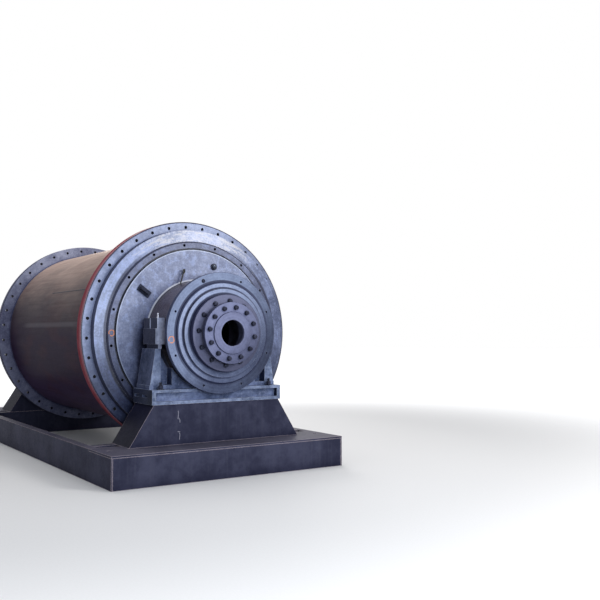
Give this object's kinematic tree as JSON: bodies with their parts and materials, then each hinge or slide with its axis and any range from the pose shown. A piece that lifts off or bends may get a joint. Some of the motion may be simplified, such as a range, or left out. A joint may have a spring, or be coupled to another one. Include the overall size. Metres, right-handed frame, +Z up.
{
  "type": "ball mill",
  "caption": "Grinding mill: a flanged steel drum with bolted heads turns on hollow trunnions in half-open bearings, carried by pedestals on a channel base frame.",
  "frame": {"origin": "on the floor under the middle of the drum, at the centre of the base frame", "axes": "+X along the drum's axis towards the near end, +Z up, and -Y towards the long side that the picture shows"},
  "size_m": [5.46, 2.56, 2.6158],
  "materials": {
    "mill_paint": "semi-gloss blue-grey machine paint over castings, dusty and worn",
    "shell_paint": "glossy near-black warm paint on rolled plate",
    "red_primer": "matte red-oxide primer",
    "lifting_steel": "dark paint with worn edges",
    "plug_steel": "machined steel",
    "bearing_metal": "machined bearing metal",
    "housing_paint": "grey-blue paint over rough casting",
    "block_steel": "light grey rough casting",
    "frame_paint": "near-black paint with pale worn edges"
  },
  "bodies": {
    "stand": {"near_liner": "bearing_metal", "far_liner": "bearing_metal", "near_housing": "housing_paint", "far_housing": "housing_paint", "near_soleplate": "housing_paint", "far_soleplate": "housing_paint", "near_left_block": "block_steel", "near_right_block": "block_steel", "far_left_block": "block_steel", "far_right_block": "block_steel", "near_pedestal": "frame_paint", "far_pedestal": "frame_paint", "near_cross_beam": "frame_paint", "far_cross_beam": "frame_paint", "near_deck": "frame_paint", "far_deck": "frame_paint", "near_end_beam": "frame_paint", "far_end_beam": "frame_paint", "left_beam": "frame_paint", "right_beam": "frame_paint"},
    "drum": {"drum_shell": "shell_paint", "near_shell_flange": "red_primer", "far_shell_flange": "red_primer", "near_head": "mill_paint", "far_head": "mill_paint", "near_trunnion": "mill_paint", "far_trunnion": "mill_paint", "near_collar": "mill_paint", "far_collar": "mill_paint", "near_end_cover": "mill_paint", "far_end_cover": "mill_paint", "near_spool": "mill_paint", "far_spool": "mill_paint", "near_feed_flange": "mill_paint", "far_feed_flange": "mill_paint", "near_lifting_lug": "lifting_steel", "far_lifting_lug": "lifting_steel", "near_eyebolt": "lifting_steel", "far_eyebolt": "lifting_steel", "near_round_plug": "plug_steel", "far_round_plug": "plug_steel"}
  },
  "joints": [
    {"name": "drum_spin", "type": "hinge", "parent": "stand", "child": "drum", "pos_m": [0, 0, 1.408], "axis": [1, 0, 0], "continuous": true}
  ]
}
